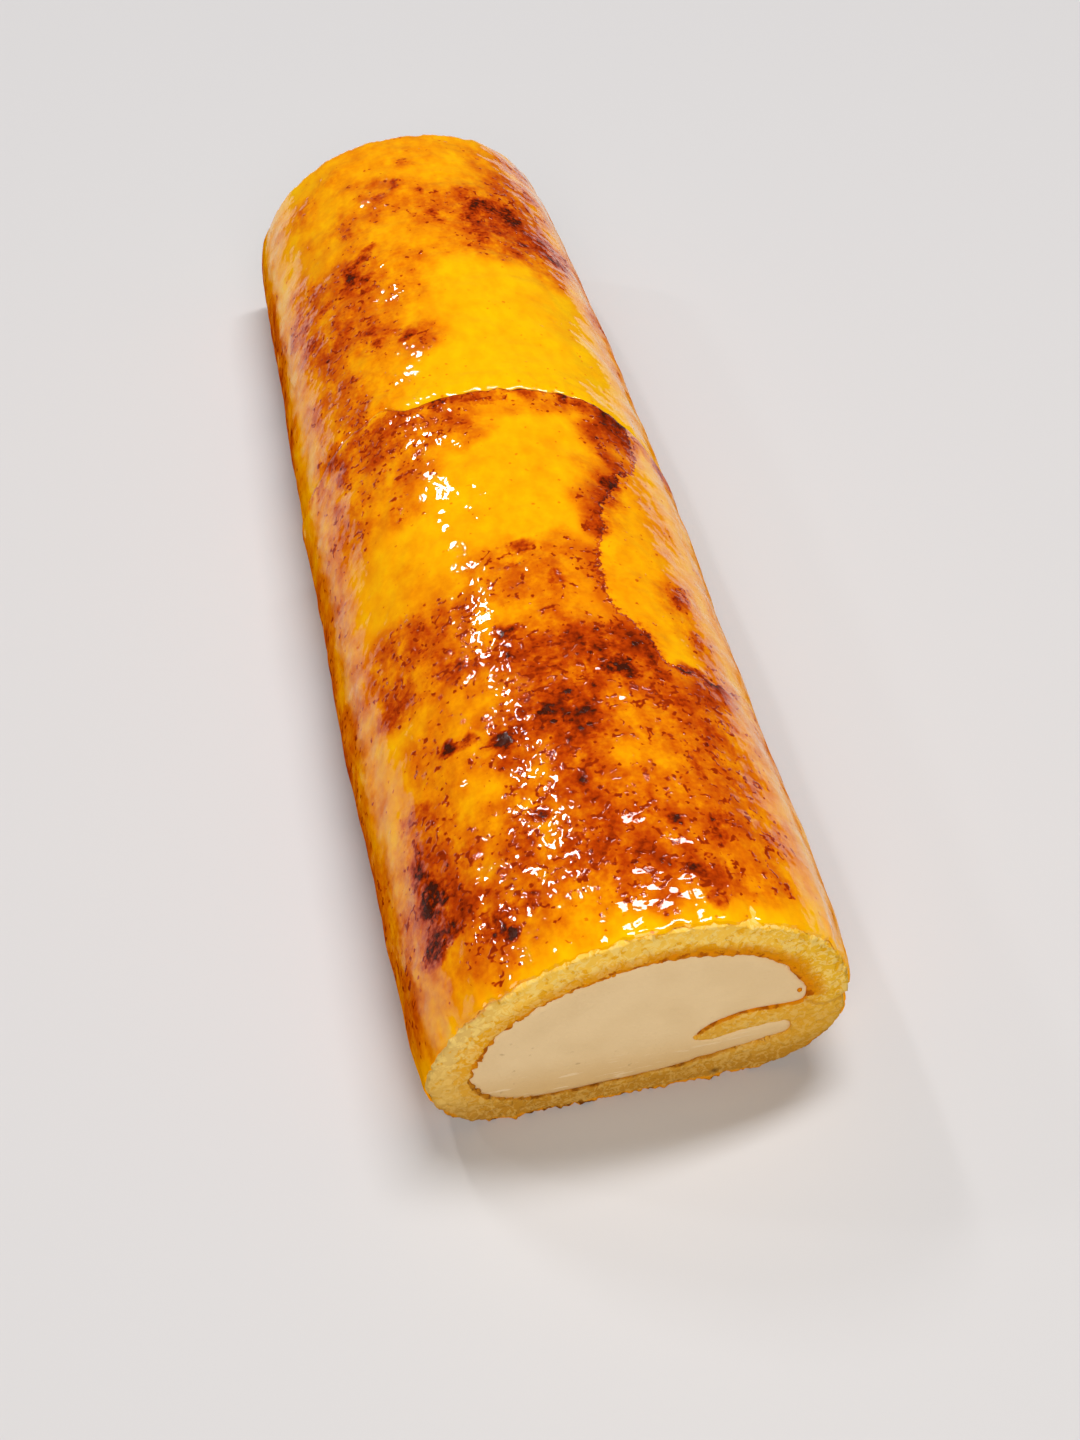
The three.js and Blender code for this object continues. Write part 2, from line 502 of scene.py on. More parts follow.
def cut_long_cells(piece, longer, shorter, cuts):
    """Cuts across the cells whose length is between two sizes in millimetres."""
    ends = np.array([edge.vertices[:] for edge in piece.data.edges])
    points = points_of(piece)
    steps = (points[ends[:, 1]] - points[ends[:, 0]]) / MM
    across = np.hypot(steps[:, 0], steps[:, 2])
    length = abs(steps[:, 1])
    pick(piece, "edges", (across < STRAIGHT) & (length > longer) & (length < shorter))
    edit(piece, select="PICKED")
    bpy.ops.mesh.subdivide(number_cuts=cuts)
    done()


def outer_skin(node, name, cells):
    """A smooth open skin. Each entry of cells says which lengths of cell get how many cuts."""
    piece = copy_of(node, name)
    keep_outside(piece)
    join_cells(piece)
    for longer, shorter, cuts in cells:
        cut_long_cells(piece, longer, shorter, cuts)
    corners = read(piece.data.polygons, "loop_total", 1)
    print(name, "has", len(corners), "cells,", int((corners != 4).sum()), "of them not quads")
    modify(piece, "SUBSURF", levels=2, render_levels=2, boundary_smooth="PRESERVE_CORNERS")
    return piece


front_skin = outer_skin("glaze_front", "glaze_front_pour", [(9.2, 99, 3), (6.3, 9.2, 1)])
back_skin = outer_skin("glaze_back", "glaze_back_pour", [(11, 99, 4), (5, 11, 1)])

# %% [markdown]
# A poured edge is never sharp. Every point near an edge sinks by the rise of a quarter circle, less and
# less the further in it lies. The same distances are kept, because the glaze also browns along its lip.

# %% Edges of a pour
FAR_AWAY = 30.0  # no distance to an edge is kept beyond this, in millimetres


def edges_of(piece):
    """The points on the open edges of a skin, sorted into near end, far end and the two lower hems."""
    mesh = bmesh.new()
    mesh.from_mesh(piece.data)
    middle = sum(vertex.co.y for vertex in mesh.verts) / len(mesh.verts)
    found = {"near": [], "far": [], "hem": []}
    for edge in mesh.edges:
        if edge.is_boundary:
            start, end = (vertex.co.copy() for vertex in edge.verts)
            step = end - start
            side = "near" if start.y < middle else "far"
            if step.xz.length < 0.05 * abs(step.y):
                side = "hem"
            found[side] += [start, (start + end) / 2, end]
    mesh.free()
    return found


def nearest(targets, points):
    """How far each point is from the nearest target, in millimetres."""
    tree = KDTree(len(targets))
    for index, target in enumerate(targets):
        tree.insert(target, index)
    tree.balance()
    return np.array([tree.find(point)[2] for point in points]) / MM


def push_out(piece, steps):
    """Moves each vertex along its normal by so many millimetres."""
    normals = read(piece.data.vertices, "normal")
    write(piece, points_of(piece) + normals * (steps * MM)[:, None])


def round_off(piece, distance, radius, depth):
    """Sinks what is nearer to an edge than radius, along a quarter circle that is depth deep."""
    inside = 1 - np.clip(distance / radius, 0, 1)
    push_out(piece, -depth * (1 - np.sqrt(1 - inside**2)))


def raise_rim(piece, distance, reach, height):
    """Lifts what is near an edge into a low bank that is higher in some places, in millimetres."""
    uneven = noise_at(round_roll(points_of(piece)) * MM_PER_DEGREE / 3.2, 0, 4)
    push_out(piece, height * (1 + 0.9 * uneven) * np.exp(-((distance / reach) ** 2)))


# Bends of the lap line: where in degrees round the roll, how wide, and how many millimetres along it.
LAP_BENDS = [(129, 6, 4.0), (70, 22, -2.0)]


def wander_of_lap(points, distance):
    """Steps along the roll that make the lap line uneven. Both pours share them, so they meet."""
    around = round_roll(points)
    bends = sum(shift * np.exp(-(((around - centre) / wide) ** 2)) for centre, wide, shift in LAP_BENDS)
    uneven = 0.8 * noise_at(around / 16, 0, 3) + 1.1 * noise_at(around / 4.5, 5, 0)
    steps = np.zeros_like(points)
    steps[:, 1] = (bends + uneven) * MM * np.exp(-((distance / 9) ** 2))
    return steps


def wander_of_cut(points, distance, inwards):
    """Steps that leave an uneven pale fringe where the knife tore the glaze from the crumb."""
    around = round_roll(points) * MM_PER_DEGREE
    steps = np.zeros_like(points)
    uneven = 1.1 * noise_at(around / 4.5, 9, 0) + 0.8 * noise_at(around / 1.5, 0, 9)
    torn = np.clip(0.3 + uneven, 0, 1.2)
    steps[:, 1] = inwards * torn * MM * np.exp(-((distance / 2.5) ** 2))
    return steps


ROUND_CUT = (0.9, 0.6)  # radius and depth of a rounded edge, in millimetres
ROUND_HEM = (1.5, 0.4)


def shape_pour(piece, lap_side, banks, rounding):
    """Lumps and dimples all over, then an uneven lap, banks along edges and rounded edges."""
    roughen(piece, 24, 0.9, octaves=0)
    roughen(piece, 8, 0.5, octaves=0)
    roughen(piece, 3.2, 0.06, octaves=0)
    points = points_of(piece)
    edges = edges_of(piece)
    for side in edges:
        paint(piece, side, np.clip(nearest(edges[side], points), 0, FAR_AWAY))
    cut_side, inwards = ("near", 1) if lap_side == "far" else ("far", -1)
    points = points + wander_of_lap(points, painted(piece, lap_side))
    write(piece, points + wander_of_cut(points, painted(piece, cut_side), inwards))
    for side, (reach, height) in banks.items():
        raise_rim(piece, painted(piece, side), reach, height)
    for side, (radius, depth) in rounding.items():
        round_off(piece, painted(piece, side), radius, depth)
    print(piece.name, "skin:", len(piece.data.polygons), "faces")


shape_pour(
    front_skin,
    lap_side="far",
    banks={"near": (9, -0.5)},
    rounding={"near": ROUND_CUT, "far": (1.7, 1.1), "hem": ROUND_HEM},
)
shape_pour(
    back_skin,
    lap_side="near",
    banks={"near": (7, 0.4)},
    rounding={"near": (6, 1.0), "far": ROUND_CUT, "hem": ROUND_HEM},
)

# %% Thickness of a pour
GLAZE_THICKNESS = 0.9


def give_thickness(piece):
    """Makes the skin a solid whose inner side lies on the crumb."""
    piece.vertex_groups.new(name="inside")
    modify(piece, "SOLIDIFY", thickness=GLAZE_THICKNESS * MM, offset=-1, shell_vertex_group="inside")
    modify(piece, "SHRINKWRAP", target=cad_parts["sponge"], vertex_group="inside")
    only(piece)
    bpy.ops.object.shade_smooth_by_angle(angle=math.radians(50))
    print(piece.name, "solid:", len(piece.data.polygons), "faces")


for skin in (front_skin, back_skin):
    give_thickness(skin)

# %% [markdown]
# ## Where the torch went, and painted shade
#
# The browning isn't even. The torch stayed longer in some places, and each stay is one entry here:
# where it was, in degrees round the roll and millimetres along it, how far it reached both ways, and
# how dark it left the glaze, from 0 for raw yellow to 1 for char. In each table two long entries low on
# the left are no stay of the torch but painted shade. Places are pushed about by a noise first, so that
# no patch stays a neat ellipse, and the material adds the small mottling.

# %% Burns and painted shade on the back pour
BACK_TOASTED_AND_SHADE = [
    (90, 90, 80, 80, 0.05), (95, 150, 45, 16, 0.17), (145, 142, 12, 7, 0.3),
    (128, 148, 8, 5, 0.28), (122, 138, 9, 6, 0.22), (107, 130, 12, 10, 0.34),
    (90, 116, 14, 14, 0.36), (90, 142, 5, 5, 0.3), (58, 146, 10, 8, 0.24), (48, 126, 16, 16, 0.36),
    (40, 134, 8, 6, 0.46), (52, 106, 20, 14, 0.5), (44, 84, 9, 10, 0.34), (118, 114, 14, 12, 0.3),
    (128, 86, 14, 18, 0.42), (152, 92, 11, 18, 0.5), (147, 68, 15, 15, 0.5),
    (148, 42, 16, 14, 0.42), (150, 24, 14, 7, 0.42), (128, 38, 12, 10, 0.28),
    (133, 27, 12, 7, 0.4), (112, 82, 20, 26, 0.26), (112, 52, 16, 6, 0.32),
    # The first two entries below, long bands at 185 and 200 degrees low on the left, are painted shade.
    (185, 90, 16, 75, 0.47), (200, 90, 12, 80, 0.46), (8, 90, 22, 80, 0.34),
    (160, 135, 14, 25, 0.1), (62, 108, 14, 12, 0.5), (138, 124, 20, 22, 0.16),
    (66, 92, 16, 9, 0.34), (38, 97, 12, 12, 0.5), (68, 121, 8, 6, 0.5), (80, 112, 14, 20, 0.28),
    (92, 90, 14, 8, 0.22), (130, 120, 8, 8, 0.36), (126, 60, 12, 9, 0.4), (106, 46, 12, 6, 0.3),
    (56, 91, 10, 6, 0.5), (40, 150, 12, 8, 0.34), (42, 120, 8, 6, 0.4),
]
BACK_BURNT = [
    (107, 126, 5, 4, 0.6), (99, 130, 2.5, 4, 0.6), (88, 124, 4, 3, 0.52), (87, 112, 4, 2.5, 0.66),
    (62, 115, 10, 6, 0.88), (52, 111, 6, 8, 0.86), (69, 107, 5, 6, 0.72), (60, 100, 4, 3, 0.74),
    (68, 97, 4, 5, 0.7), (52, 96, 4, 3, 0.8), (45, 98, 5, 5, 0.7), (38, 94, 5, 4, 0.8),
    (128, 93, 5, 6, 0.84), (123, 98, 6, 3, 0.74), (122, 88, 5, 2.5, 0.7), (117, 101, 5, 1.6, 0.62),
    (125, 82, 7, 2.2, 0.62), (125, 68, 2.6, 3.5, 0.6), (126, 63, 4, 2.4, 0.64),
    (113, 64, 2.5, 2, 0.42), (124, 56, 4, 2.6, 0.66), (118, 57, 5, 2, 0.5),
    (111, 53, 4.5, 3, 0.86), (102, 55, 4, 3, 0.36), (153, 86, 5, 3, 0.62), (142, 86, 7, 2.6, 0.56),
    (152, 75, 6, 6, 0.66), (138, 46, 6, 1.6, 0.5), (125, 115, 5, 4, 0.42),
    (140, 22, 12, 2.4, 0.52),
]

# %% Burns and painted shade on the front pour
FRONT_TOASTED_AND_SHADE = [
    (90, -60, 70, 90, 0.08), (54, -50, 15, 32, 0.2), (100, -150, 62, 7, 0.31),
    (138, -38, 16, 14, 0.15), (138, -98, 20, 18, 0.28), (62, 13, 24, 6, 0.32),
    (100, 2, 8, 6, 0.32), (150, 0, 14, 8, 0.36), (130, -14, 10, 8, 0.27), (40, -30, 8, 24, 0.32),
    (40, -84, 8, 14, 0.46), (80, -58, 10, 6, 0.22), (115, -104, 12, 6, 0.46),
    (112, -76, 11, 5, 0.5), (82, -106, 8, 6, 0.32), (105, -136, 12, 8, 0.48),
    (146, 13, 18, 9, 0.36), (122, 14, 14, 7, 0.36), (103, 10, 10, 8, 0.4), (126, -2, 14, 9, 0.36),
    (120, 10, 22, 8, 0.42), (150, -9, 12, 14, 0.34), (152, -16, 5, 5, 0.3), (47, 4, 9, 12, 0.54),
    (52, -14, 8, 9, 0.56), (60, -30, 8, 9, 0.46), (92, -54, 34, 13, 0.36),
    (138, -62, 24, 10, 0.46), (150, -74, 10, 7, 0.5), (126, -74, 16, 7, 0.44),
    (97, -78, 32, 13, 0.46), (94, -96, 20, 17, 0.65), (72, -84, 14, 13, 0.53),
    (54, -96, 16, 9, 0.44), (104, -112, 16, 12, 0.46), (93, -127, 20, 15, 0.52),
    (92, -142, 30, 8, 0.48), (66, -132, 19, 16, 0.39), (48, -112, 14, 18, 0.42),
    (46, -136, 13, 12, 0.34), (64, -107, 17, 13, 0.37), (150, -116, 14, 9, 0.46),
    (150, -134, 16, 13, 0.5), (128, -138, 16, 9, 0.42), (134, -122, 14, 8, 0.34),
    (120, -128, 7, 12, 0.44), (112, -96, 14, 8, 0.4), (44, -64, 8, 14, 0.44),
    # On the next line the bands at 185 and 200 degrees, low on the left, are painted shade.
    (43, -92, 8, 16, 0.38), (185, -60, 16, 85, 0.47), (200, -70, 12, 80, 0.46),
    (172, -132, 12, 28, 0.38), (164, -40, 9, 70, 0.24), (148, -153, 26, 9, 0.22),
    (8, -60, 22, 85, 0.36), (60, -149, 16, 5, 0.44), (92, -151, 14, 4, 0.36),
    (54, -76, 10, 5, 0.24), (42, 14, 10, 6, 0.4), (110, -104, 8, 6, 0.42),
]
FRONT_BURNT = [
    (125, 20, 28, 2.6, 0.58), (150, 14, 5, 8, 0.55), (138, 14, 6, 5, 0.58), (128, 8, 6, 3, 0.56),
    (118, 15, 7, 2.4, 0.5), (40, 4, 5, 9, 0.62), (54, -20, 3.6, 3.6, 0.78), (58, -27, 6, 5, 0.58),
    (65, -38, 5, 5, 0.5), (93, -44, 6, 2.4, 0.6), (98, -50, 3, 3, 0.5), (85, -57, 4, 3, 0.66),
    (146, -56, 7, 3, 0.5), (150, -75, 8, 5, 0.62), (146, -68, 3, 3, 0.6), (126, -75, 6, 3, 0.66),
    (106, -70, 5, 2.4, 0.9), (110, -76, 12, 3, 0.62), (102, -97, 6, 3.5, 0.7),
    (102, -97, 3.5, 2, 0.98), (96, -84, 5, 5, 0.6), (74, -88, 7, 5, 0.95), (77, -79, 5, 5, 0.62),
    (70, -75, 5, 2.4, 0.55), (63, -85, 4, 6, 0.66), (61, -91, 4, 4, 0.66), (50, -88, 5, 2, 0.8),
    (135, -97, 4, 2, 0.9), (128, -98, 3, 2.4, 0.84), (117, -101, 6, 2.4, 0.96),
    (109, -96, 4, 3, 0.8), (110, -104, 6, 3, 0.62), (152, -108, 7, 4, 0.5),
    (154, -122, 5, 5, 0.78), (152, -131, 7, 6, 1.0), (156, -141, 5, 5, 0.9),
    (147, -140, 8, 4, 0.72), (134, -146, 7, 4, 0.8), (131, -149, 3.5, 2.2, 0.96),
    (122, -144, 6, 3, 0.66), (125, -134, 5, 1.4, 0.66), (118, -128, 3, 7, 0.56),
    (112, -124, 3.5, 2.4, 0.84), (93, -126, 8, 7, 0.46), (79, -131, 3, 2, 0.66),
    (74, -134, 4, 2.4, 0.82), (61, -137, 3, 6, 0.72), (57, -133, 4, 4, 0.62),
    (70, -147, 5, 2.6, 0.78), (67, -154, 4, 2.4, 0.6), (60, -119, 3.5, 7, 0.54),
    (48, -123, 6, 5, 0.48), (44, -61, 4, 6, 0.56), (42, -76, 4, 5, 0.54), (138, -126, 8, 4, 0.5),
    (142, -114, 8, 2.4, 0.42),
]

# %% Heat and painted shade over the glaze
def wandered(points, size, push):
    """Places round and along the roll, pushed about by a noise. Both sizes are in millimetres."""
    shift = np.array([noise.noise_vector(Vector(point) / (size * MM)) for point in points])
    around = round_roll(points) + push * shift[:, 0] / MM_PER_DEGREE
    return around, points[:, 1] / MM + push * shift[:, 1]


def heat_and_shade(around, along, burns):
    """How dark the glaze is from burns and painted shade: the strongest entry at a place counts most."""
    total = np.zeros_like(around)
    for centre, y, wide, long, strength in burns:
        outwards = ((around - centre) / wide) ** 2 + ((along - y) / long) ** 2
        total += (strength * np.exp(-0.7 * outwards**1.4)) ** 3
    return np.cbrt(total)


for skin, toasted_and_shade, burnt in (
    (front_skin, FRONT_TOASTED_AND_SHADE, FRONT_BURNT),
    (back_skin, BACK_TOASTED_AND_SHADE, BACK_BURNT),
):
    points = points_of(skin)
    # The broad entries hold the painted shade low on the left as well as the browning.
    broad = heat_and_shade(*wandered(points, 9, 4), toasted_and_shade)
    small = heat_and_shade(*wandered(points, 4, 2), burnt)
    paint(skin, "browning_and_shade", broad)
    paint(skin, "burnt", small)
    print(skin.name, "is browned by", round(float(np.maximum(broad, small).mean()), 2), "on average")

# %% [markdown]
# On the front pour a bubble of raw glaze ran off to the right of the ridge and left a dark wavy shore.
# The shore is a line drawn through a few places, and every point keeps how far it lies from it: above
# zero on the burnt side, below zero in the clear pool.

# %% Shore of the clear pool
SHORE = [
    (46, 20), (38, 8), (38, -2), (42, -12), (50, -17), (55, -25), (60, -30), (62, -38), (64, -42),
    (67, -50), (70, -57), (69, -63), (67, -70), (62, -74), (60, -79), (58, -86), (53, -88),
    (46, -90), (36, -90), (27, -87), (20, -91), (12, -86), (2, -90), (-12, -84), (-30, -92),
]


def from_line(around, along, line):
    """Distance from a line of places in millimetres, above zero on its left."""
    spots = np.column_stack([around * MM_PER_DEGREE, along])
    line = np.array(line) * [MM_PER_DEGREE, 1]
    best = np.full(len(spots), 1e9)
    side = np.ones(len(spots))
    for start, end in zip(line[:-1], line[1:]):
        step = end - start
        offset = spots - start
        share = np.clip((offset @ step) / (step @ step), 0, 1)
        distance = np.linalg.norm(offset - share[:, None] * step, axis=1)
        nearer = distance < best
        best[nearer] = distance[nearer]
        side[nearer] = np.sign(step[1] * offset[nearer, 0] - step[0] * offset[nearer, 1])
    return best * -side


points = points_of(front_skin)
around = round_roll(points)
shore = from_line(around, points[:, 1] / MM, SHORE)
# Down the right side the near shore fades out.
shore += np.sign(shore) * 0.4 * np.maximum(0, 50 - around) * (points[:, 1] < -70 * MM)
paint(front_skin, "shore", np.clip(shore, -FAR_AWAY, FAR_AWAY))
paint(back_skin, "shore", np.full(len(back_skin.data.vertices), FAR_AWAY))
print("The pool covers", int((shore < 0).sum()), "of", len(points), "points")

# %% [markdown]
# ## Finish of the glaze
#
# Raw egg yolk glaze is a clear deep yellow. Heat turns it orange, then red-brown, then nearly black, so
# one ramp from heat to colour paints it all, and the painted shade low on the left too. Cloudy noise
# breaks up each burn, small blisters of char crowd where it is hot, short curved threads lie between
# them, and the lip and the shore carry a dark line. The surface is as glossy as syrup. Its finest
# dimples and the blisters are a bump, which is what shatters the reflection of the lights into sparks.

# %% Small patterns
def blisters(finish, place, cell, radius, share):
    """Dots one to a cell, with ragged outlines, and only in that share of the cells."""
    ragged = finish.cloud(place, cell * 0.35, 1, output="Color")
    sockets = {0: ragged, 1: (cell * 0.45,) * 3, 2: place}
    moved = finish.node("ShaderNodeVectorMath", {"operation": "MULTIPLY_ADD"}, sockets)
    dots = {"Vector": moved, "Scale": 1 / cell, "Randomness": 1.0}
    distance = finish.node("ShaderNodeTexVoronoi", None, dots)
    draw = finish.node("ShaderNodeSeparateColor", None, {"Color": distance.other("Color")})
    size = (draw * 0.75 + 0.25) * (radius / cell)
    return (distance - size).ramp(0.07, -0.07) * (draw.other("Green") - share).ramp(0.03, -0.03)


def threads(finish, place, size, share):
    """Short curved threads: where a noise crosses its middle, and a second noise is high."""
    crossing = (finish.cloud(place, size, 1) - 0.5).size().ramp(0.09, 0.03)
    return crossing * (finish.cloud(place, size * 0.9, 1) + share).ramp(1.0, 1.08)


# %% Glaze material
TOASTED = [
    (0.00, rgb(255, 192, 0)), (0.10, rgb(254, 175, 0)), (0.22, rgb(245, 151, 0)),
    (0.36, rgb(228, 119, 1)), (0.50, rgb(208, 89, 1)), (0.64, rgb(185, 61, 1)),
    (0.82, rgb(136, 37, 3)), (1.00, rgb(66, 22, 7)),
]


def toasted_glaze():
    finish = Finish("toasted_glaze", IOR=1.46)
    place = finish.place()
    drawn_out = finish.stretched(place, (1, 0.65, 1))
    broad = finish.cloud(drawn_out, 10, 3) - 0.5
    blotch = finish.cloud(drawn_out, 4.0, 3) - 0.5
    grain = finish.cloud(place, 1.2, 2) - 0.5
    # This number holds the torch browning and also the painted shade low on the left flank.
    browning_and_shade = finish.painted("browning_and_shade")
    burnt = finish.painted("burnt")
    uneven = (1.08 + broad * 1.3 + blotch * 1.4 + grain * 0.9).most(0.66)
    mottled = browning_and_shade * uneven + blotch * 0.2 + broad * 0.18 + 0.01
    marks = (burnt * (1.03 + blotch * 1.2 + grain * 1.3)).most(0)

    wavy = blotch * 4.5 + grain * 5.0
    shore_at = finish.painted("shore") + wavy
    shore_line = shore_at.ramp(1.2, 0.3) * shore_at.ramp(-0.5, 0.1)
    shore_band = shore_at.ramp(9, 0.5) * shore_at.ramp(-0.4, 0.3)
    clear = shore_at.ramp(0, -1.5)
    lip_at = finish.painted("lip") + wavy * 1.5
    lip = lip_at.ramp(11.0, 2.5) * (0.4 + blotch * 1.8 + broad * 1.8) + lip_at.ramp(1.6, 0.4) * 0.3
    warm = (mottled * (1 - clear * 0.35)).most(marks).most(lip)
    warm = warm + shore_line * 0.22 + shore_band * 0.14

    hot = warm.ramp(0.1, 0.62)
    peppered = finish.painted("peppered")
    specks = blisters(finish, place, 1.7, 0.5, (hot * 0.4 + 0.1) * peppered)
    char = blisters(finish, place, 2.6, 0.75, hot * 0.36 + 0.02)
    curls = threads(finish, place, 2.6, hot.ramp(0.1, 0.7) * 0.18 + 0.22 + peppered * 0.08)
    darker = (warm.ramp(0.05, 0.35) * 0.5 + 0.28 - warm).most(0.14)
    warm = warm + (darker * specks.most(curls)).most(char * (0.12 + hot * 0.16))

    colour = finish.ramped(warm, TOASTED)
    rough_here = browning_and_shade.ramp(0.05, 0.4).most(finish.painted("rippled") * 0.8)
    rough_here = rough_here * (1 - finish.painted("flank") * 0.4)
    dimples = finish.cloud(place, 6.5, 0).ramp(0.36, 0.64)
    pimples = finish.cloud(place, 3.0, 0) * (0.3 + rough_here * 1.4)
    crinkles = finish.cloud(place, 1.5, 0) * (rough_here * 0.24 + 0.2)
    height = dimples * 0.45 + pimples + crinkles + char * 0.3 + curls * 0.2
    height = height + shore_at.ramp(-0.4, 1.0) * 0.5
    normal = finish.bump(height, 0.25)
    rough = 0.03 + warm.ramp(0.75, 1.1) * 0.25
    dry = (finish.painted("dry") + blotch * 0.8).ramp(0.25, 0.75).most(warm.ramp(0.55, 0.85) * 0.7)
    return finish.dried(dry, Base_Color=colour, Normal=normal, Roughness=rough)


# %% [markdown]
# Low on both flanks the glaze ran thin and dried, so it mirrors less there. On the left it is also
# calmer. Towards the near end of each pour, and in one patch left of the ridge, the spatula left it
# rippled. The far half and the left carry fewer specks.

# %% Glaze finished
def low_on_flank(around):
    """How dry the glaze is at these degrees round the roll."""
    left = np.clip((around - 146) / 20, 0, 0.32) + np.clip((around - 163) / 18, 0, 0.5)
    return left + np.clip((34 - around) / 20, 0, 0.6)


# Degrees round the roll, millimetres along it, its reach both ways and its strength.
RIPPLED_PATCH = (117, -12, 16, 18, 0.55)
glaze_finish = toasted_glaze()
for skin in (front_skin, back_skin):
    skin.data.materials.append(glaze_finish)
    points = points_of(skin)
    around = round_roll(points)
    along = points[:, 1] / MM
    paint(skin, "dry", low_on_flank(around))
    centre, y, wide, long, strength = RIPPLED_PATCH
    patch = strength * np.exp(-(((around - centre) / wide) ** 2) - ((along - y) / long) ** 2)
    paint(skin, "rippled", np.maximum(np.clip(1.4 - painted(skin, "near") / 9, 0, 1), patch))
    flank = np.clip((around - 140) / 12, 0, 1)
    paint(skin, "flank", flank)
    paint(skin, "peppered", np.interp(along, [20, 70], [1.0, 0.5]) * (1 - 0.5 * flank))
paint(front_skin, "lip", painted(front_skin, "far"))
paint(back_skin, "lip", np.full(len(back_skin.data.vertices), FAR_AWAY))

# %% [markdown]
# ## The sponge
#
# Only the two cut ends of the sponge show. A knife tears fine crumb: the face is full of small pits,
# its edges are ragged, and the browned skin of the sheet shows as a thin dark line towards the cream. A
# block at each end is remeshed into small even cells that can carry this, and the middle stays as it
# is, because glaze and cream hide it.

# %% Blocks of a part
END_DEPTH = 9.0
FACE_Y = low.y / MM
BACK_Y = high.y / MM
MARGIN = 5  # an end block is cut this far past the solid, which leaves the face whole
FACE_SKEW = 0.02  # the near cut isn't quite square to the roll
FACE_SET_BACK = 0.9  # and in the middle it lies this far behind its foremost corner
ENDS = {  # the start and end of each end block, and which way its cut looks
    "near": (FACE_Y - MARGIN, FACE_Y + END_DEPTH, -1),
    "far": (BACK_Y - END_DEPTH, BACK_Y + MARGIN, 1),
}


def block(node, name, start, end, voxel=None):
    """A closed length of a part between two places along the roll, remeshed if a voxel is given."""
    piece = copy_of(node, name)
    edit(piece)
    for place, outwards in ((start, -1), (end, 1)):
        plane = {"plane_co": (0, place * MM, 0), "plane_no": (0, outwards, 0)}
        bpy.ops.mesh.select_all(action="SELECT")
        bpy.ops.mesh.bisect(**plane, clear_outer=True, use_fill=True)
    done()
    if voxel:
        modify(piece, "REMESH", mode="VOXEL", voxel_size=voxel * MM)
    return piece


def swell(piece, distance):
    """Moves the whole surface out along its normals, in millimetres."""
    modify(piece, "DISPLACE", strength=distance * MM, mid_level=0)


def near_cut(piece, reach):
    """1 on the nearer cut face, falling to 0 at a depth of reach millimetres."""
    points = points_of(piece) / MM
    face = FACE_Y + FACE_SET_BACK + FACE_SKEW * points[:, 0]
    depth = np.minimum(points[:, 1] - face, BACK_Y - points[:, 1])
    return np.clip(1 - depth / reach, 0, 1)


# %% Distances in the sponge
def tree_of(*nodes):
    """The surface of some solids, to measure distances from."""
    vertices = []
    faces = []
    for node in nodes:
        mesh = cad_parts[node].data
        faces += [[index + len(vertices) for index in polygon.vertices] for polygon in mesh.polygons]
        vertices += [vertex.co for vertex in mesh.vertices]
    return BVHTree.FromPolygons(vertices, faces)


def distance_to(tree, points):
    """How far each point is from a surface, in millimetres."""
    return np.array([tree.find_nearest(Vector(point))[3] for point in points]) / MM


# %% Torn edges of the sponge
SCALLOP_CENTRE = (-22, 13)  # inside the left end of the cream, on the face
SCALLOP_ANGLE = 0.24  # from one notch to the next, in radians


def scallop(piece):
    """At the left end of the cream the crumb tore into bulges with sharp notches between them."""
    points = points_of(piece) / MM
    left, up = SCALLOP_CENTRE[0] - points[:, 0], points[:, 2] - SCALLOP_CENTRE[1]
    shift = noise_at(points[:, 0] / 4, 0, points[:, 2] / 4)
    angle = np.arctan2(up, left) + 0.18 * shift
    bulge = 1.5 * abs(np.sin(math.pi * angle / SCALLOP_ANGLE)) - 0.5
    here = np.clip((-20 - points[:, 0]) / 6, 0, 1) * near_cut(piece, 4)
    to_cream = distance_to(tree_of("cream"), points * MM)
    bulge *= here * np.exp(-((to_cream / 1.6) ** 2)) / np.hypot(left, up)
    points[:, 0] += bulge * left
    points[:, 2] -= bulge * up
    write(piece, points * MM)


def fray_base(piece, outwards):
    """The lower edge of the cut crumbles, so it stands forward in places and is missing in others."""
    points = points_of(piece) / MM
    low_down = np.clip(1 - points[:, 2] / 2.6, 0, 1) * near_cut(piece, 3)
    broad = noise_at(points[:, 0] / 3.5, 2, 0)
    small = noise_at(points[:, 0] / 1.1, 0, points[:, 2] / 1.5)
    points[:, 1] += outwards * low_down * (0.9 * broad + 0.8 * small - 0.1)
    write(piece, points * MM)


def lift_tongue(piece):
    """Under the tongue the strip of cream widens to the right, so the tongue is thinner there."""
    points = points_of(piece) / MM
    lift = np.interp(points[:, 0], [12, 20, 27, 31, 34], [0.2, 0.45, 1.0, 1.0, 0])
    lift *= np.exp(-(((points[:, 2] - 15.3) / 1.6) ** 2)) * np.clip((points[:, 2] - 12.5) / 1.5, 0, 1)
    points[:, 2] += lift * near_cut(piece, 4)
    write(piece, points * MM)


